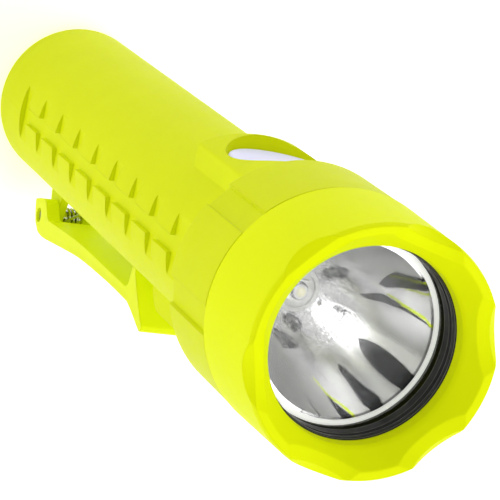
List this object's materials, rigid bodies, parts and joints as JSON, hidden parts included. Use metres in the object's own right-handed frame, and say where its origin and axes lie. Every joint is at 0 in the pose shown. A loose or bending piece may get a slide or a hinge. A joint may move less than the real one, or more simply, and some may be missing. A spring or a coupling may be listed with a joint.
{
  "type": "firefighter flashlight",
  "caption": "Hand-held safety flashlight with grip tube, scalloped screw bezel, deep reflector, side push button and sprung belt clip.",
  "frame": {"origin": "centre of the flat tail face, on the optical axis", "axes": "+Z along the optical axis towards the lens, -Y towards the push button, +Y towards the belt clip"},
  "size_m": [0.044, 0.0481, 0.1737],
  "materials": {
    "body_polymer": "moulded, fine satin texture",
    "head_polymer": "moulded, fine satin texture",
    "clip_polymer": "moulded, satin",
    "button_elastomer": "pale translucent silicone, satin",
    "seal_rubber": "black, satin",
    "lens_clear": "clear polished",
    "reflector_metal": "vacuum metallised, light texture near the lamp",
    "steel": "bright stainless",
    "aluminium": "turned, bare",
    "board_green": "solder resist",
    "board_white": "white solder resist",
    "led_dome": "yellow phosphor under a clear dome",
    "carrier_black": "moulded",
    "cell_sleeve": "printed shrink sleeve, plain",
    "nickel": "nickel plated"
  },
  "bodies": {
    "housing": {"body_shell": "body_polymer", "head_collar": "head_polymer", "bezel_oring": "seal_rubber", "reflector": "reflector_metal", "heat_sink": "aluminium", "led_board": "board_white", "board_screws": "steel", "led_emitter": "led_dome", "reflector_spacer": "board_white", "driver_board": "board_green", "switch_board": "board_green", "tact_switch": "carrier_black", "button_seal": "seal_rubber", "aa_cells": "cell_sleeve", "battery_carrier": "carrier_black", "contact_plates": "nickel", "contact_springs": "nickel", "clip_pin": "steel"},
    "lens_pack": {"lens": "lens_clear", "lens_gasket": "seal_rubber"},
    "bezel": {"bezel": "head_polymer"},
    "button": {"switch_button": "button_elastomer"},
    "clip": {"clip": "clip_polymer", "clip_spring": "steel"}
  },
  "joints": [
    {"name": "bezel_advance", "type": "slide", "parent": "housing", "child": "lens_pack", "axis": [0, 0, 1], "range_m": [0, 0.0055]},
    {"name": "bezel_turn", "type": "hinge", "parent": "lens_pack", "child": "bezel", "pos_m": [0, 0, 0.16], "axis": [0, 0, 1], "range_deg": [0, 662]},
    {"name": "button_press", "type": "slide", "parent": "housing", "child": "button", "axis": [0, 1, 0], "range_m": [0, 0.0012], "stiffness_N_per_m": 2500, "springref_m": -0.0003},
    {"name": "clip_open", "type": "hinge", "parent": "housing", "child": "clip", "pos_m": [0, 0.0226, 0.0136], "axis": [-1, 0, 0], "range_deg": [0, 14], "stiffness_Nm_per_rad": 1.2, "springref_deg": -14.32}
  ],
  "couplings": [
    {"joint": "bezel_turn", "follows": "bezel_advance", "rad_per_m": 2094.4}
  ]
}
